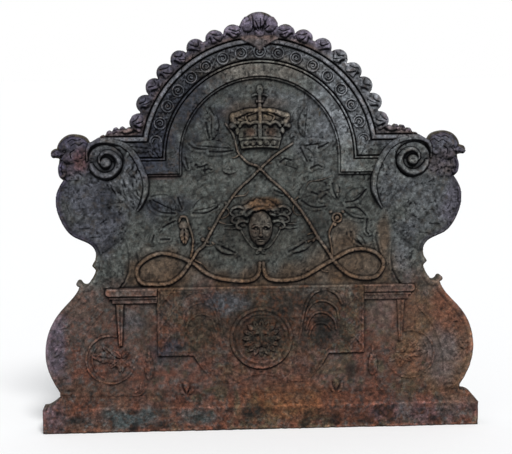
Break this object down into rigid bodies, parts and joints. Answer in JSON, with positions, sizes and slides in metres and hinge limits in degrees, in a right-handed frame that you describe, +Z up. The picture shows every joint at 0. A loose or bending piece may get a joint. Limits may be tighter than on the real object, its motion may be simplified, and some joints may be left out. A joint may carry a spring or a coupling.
{
  "type": "fireback",
  "caption": "Ornamented cast iron fireback with an arched crest, bird busts at the sides and a moulded plinth; it stands on the hearth against the chimney wall.",
  "frame": {"origin": "middle of the plinth's underside, where the fireback stands on the hearth", "axes": "+X across the front, +Y from the ornamented front to the flat back, +Z up"},
  "size_m": [0.9, 0.048, 0.849],
  "materials": {
    "dark_iron": "matte, blackened",
    "worn_iron": "matte, worn",
    "rusted_iron": "matte, rusted"
  },
  "bodies": {
    "root": {"arch_band": "dark_iron", "arch_cornice": "dark_iron", "arch_fillet": "dark_iron", "arch_frieze": "dark_iron", "back_plate": "dark_iron", "branch_left": "rusted_iron", "branch_right": "rusted_iron", "bust_left": "dark_iron", "bust_right": "dark_iron", "cloth_panel": "rusted_iron", "crest_shell": "worn_iron", "crown_arches": "rusted_iron", "crown_band": "rusted_iron", "crown_finial": "rusted_iron", "crown_leaves": "rusted_iron", "drop_left": "rusted_iron", "drop_right": "rusted_iron", "flower_left": "rusted_iron", "flower_right": "rusted_iron", "frieze_roundels": "dark_iron", "garland_left": "worn_iron", "garland_right": "worn_iron", "head_left": "worn_iron", "head_right": "worn_iron", "keystone": "dark_iron", "leaves_left": "dark_iron", "leaves_right": "dark_iron", "ledge_left": "rusted_iron", "ledge_right": "rusted_iron", "leg_left": "rusted_iron", "leg_right": "rusted_iron", "lion_mask": "rusted_iron", "mask_face": "rusted_iron", "mask_hair": "rusted_iron", "mask_knot": "rusted_iron", "medallion_ring": "rusted_iron", "pilaster_left": "dark_iron", "pilaster_right": "dark_iron", "plinth": "rusted_iron", "rosette_left": "rusted_iron", "rosette_right": "rusted_iron", "side_scroll_left": "dark_iron", "side_scroll_right": "dark_iron", "strap_left": "rusted_iron", "strap_right": "rusted_iron", "tassel_left": "rusted_iron", "tassel_right": "rusted_iron", "volute_left": "dark_iron", "volute_right": "dark_iron", "wing_left": "dark_iron", "wing_right": "dark_iron"}
  },
  "joints": []
}
